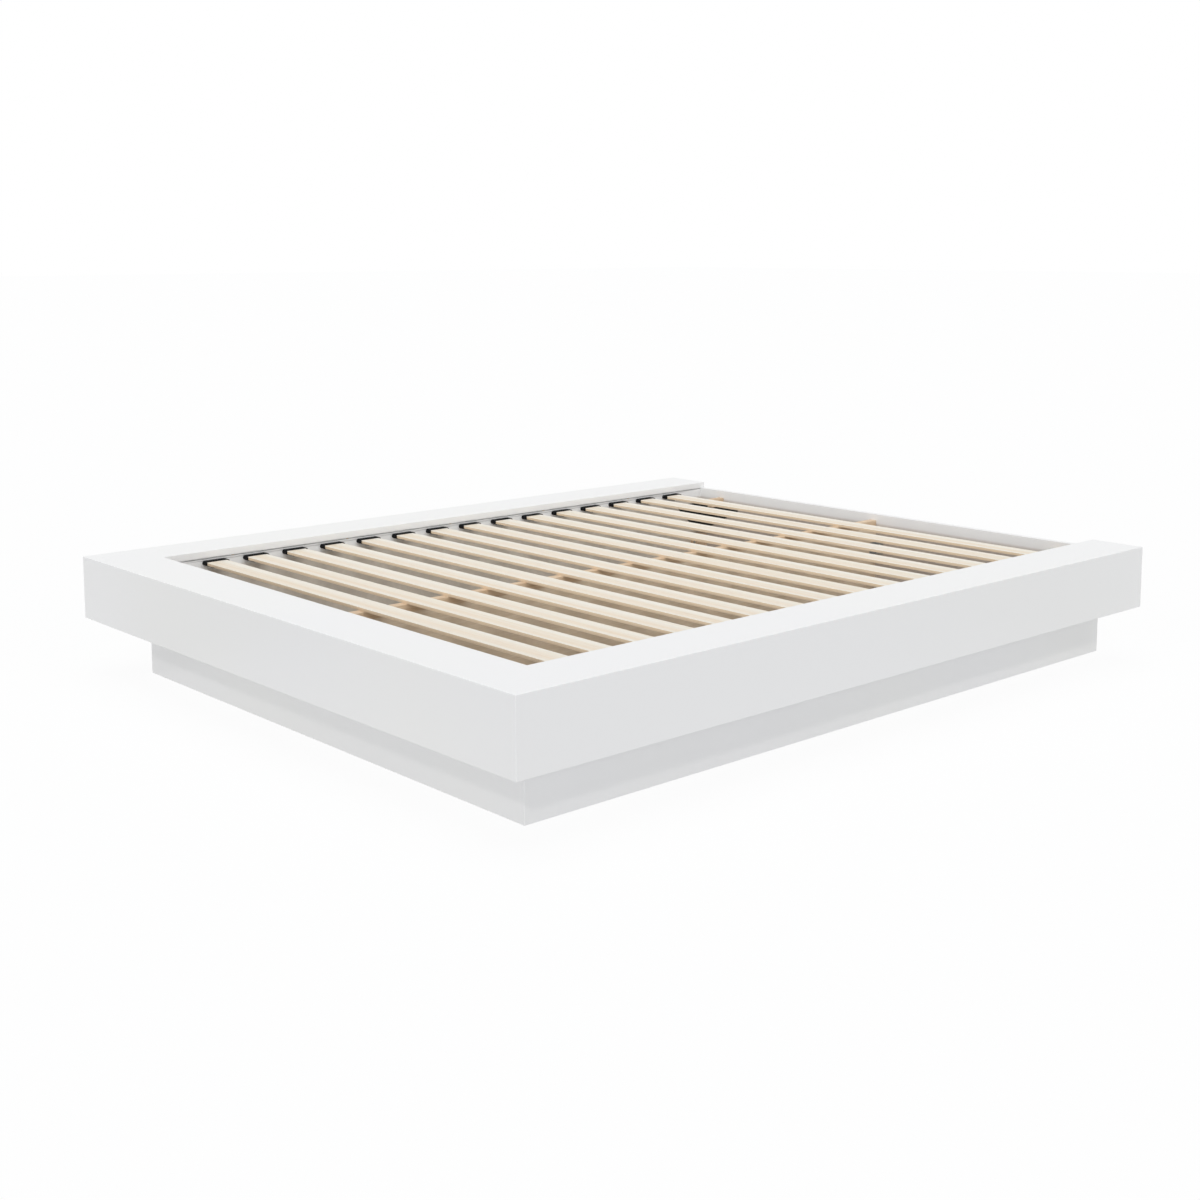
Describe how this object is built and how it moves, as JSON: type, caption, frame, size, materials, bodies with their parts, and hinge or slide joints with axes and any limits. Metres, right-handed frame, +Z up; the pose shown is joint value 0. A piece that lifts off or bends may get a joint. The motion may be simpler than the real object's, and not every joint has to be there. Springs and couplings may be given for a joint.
{
  "type": "platform bed",
  "caption": "Low platform bed frame: wide hollow white rim on a set-back plinth, open at the head, with flat wooden slats in black caps over a centre support.",
  "frame": {"origin": "on the floor, under the middle of the bed frame", "axes": "+Z up, +Y towards the head of the bed, +X across the bed to the right of someone lying in it"},
  "size_m": [1.85, 2.23, 0.318],
  "materials": {
    "white_lacquer": "white satin lacquer on board, smooth, no grain",
    "slat_plywood": "clear-sealed laminated slat, pale, long straight grain, layered edge",
    "pine": "planed, unfinished",
    "plywood_board": "unfinished plywood, fine grain along the bed",
    "raw_board": "uncoated chipboard",
    "black_plastic": "moulded, fine grain",
    "black_steel": "black powder coat",
    "zinc_steel": "zinc plated"
  },
  "bodies": {
    "bed_frame": {"angle_screws": "zinc_steel", "beam_dowels": "pine", "bracket_bolts": "zinc_steel", "centre_angles": "black_steel", "centre_beam": "pine", "centre_board": "plywood_board", "foot_deck_board": "white_lacquer", "foot_fascia": "white_lacquer", "foot_inner_rail": "white_lacquer", "foot_inserts": "zinc_steel", "foot_plinth_board": "white_lacquer", "foot_rim_ribs": "raw_board", "foot_soffit": "white_lacquer", "head_panel": "white_lacquer", "head_plinth_board": "white_lacquer", "left_deck_board": "white_lacquer", "left_fascia": "white_lacquer", "left_foot_bracket": "black_steel", "left_head_bracket": "black_steel", "left_head_cleat": "pine", "left_inner_rail": "white_lacquer", "left_plinth_board": "white_lacquer", "left_rim_ribs": "raw_board", "left_slat_caps": "black_plastic", "left_soffit": "white_lacquer", "plinth_corner_blocks": "pine", "plinth_screws": "zinc_steel", "right_deck_board": "white_lacquer", "right_fascia": "white_lacquer", "right_foot_bracket": "black_steel", "right_head_bracket": "black_steel", "right_head_cleat": "pine", "right_inner_rail": "white_lacquer", "right_plinth_board": "white_lacquer", "right_rim_ribs": "raw_board", "right_slat_caps": "black_plastic", "right_soffit": "white_lacquer", "rim_dowels": "pine", "slat_01": "slat_plywood", "slat_02": "slat_plywood", "slat_03": "slat_plywood", "slat_04": "slat_plywood", "slat_05": "slat_plywood", "slat_06": "slat_plywood", "slat_07": "slat_plywood", "slat_08": "slat_plywood", "slat_09": "slat_plywood", "slat_10": "slat_plywood", "slat_11": "slat_plywood", "slat_12": "slat_plywood", "slat_13": "slat_plywood", "slat_14": "slat_plywood", "slat_15": "slat_plywood"},
    "levelling_foot_1": {"levelling_pad_1": "black_plastic", "levelling_stud_1": "zinc_steel"},
    "levelling_foot_2": {"levelling_pad_2": "black_plastic", "levelling_stud_2": "zinc_steel"},
    "levelling_foot_3": {"levelling_pad_3": "black_plastic", "levelling_stud_3": "zinc_steel"}
  },
  "joints": [
    {"name": "levelling_foot_1_height", "type": "slide", "parent": "bed_frame", "child": "levelling_foot_1", "axis": [0, 0, 1], "range_m": [-0.012, 0.009]},
    {"name": "levelling_foot_2_height", "type": "slide", "parent": "bed_frame", "child": "levelling_foot_2", "axis": [0, 0, 1], "range_m": [-0.012, 0.009]},
    {"name": "levelling_foot_3_height", "type": "slide", "parent": "bed_frame", "child": "levelling_foot_3", "axis": [0, 0, 1], "range_m": [-0.012, 0.009]}
  ]
}
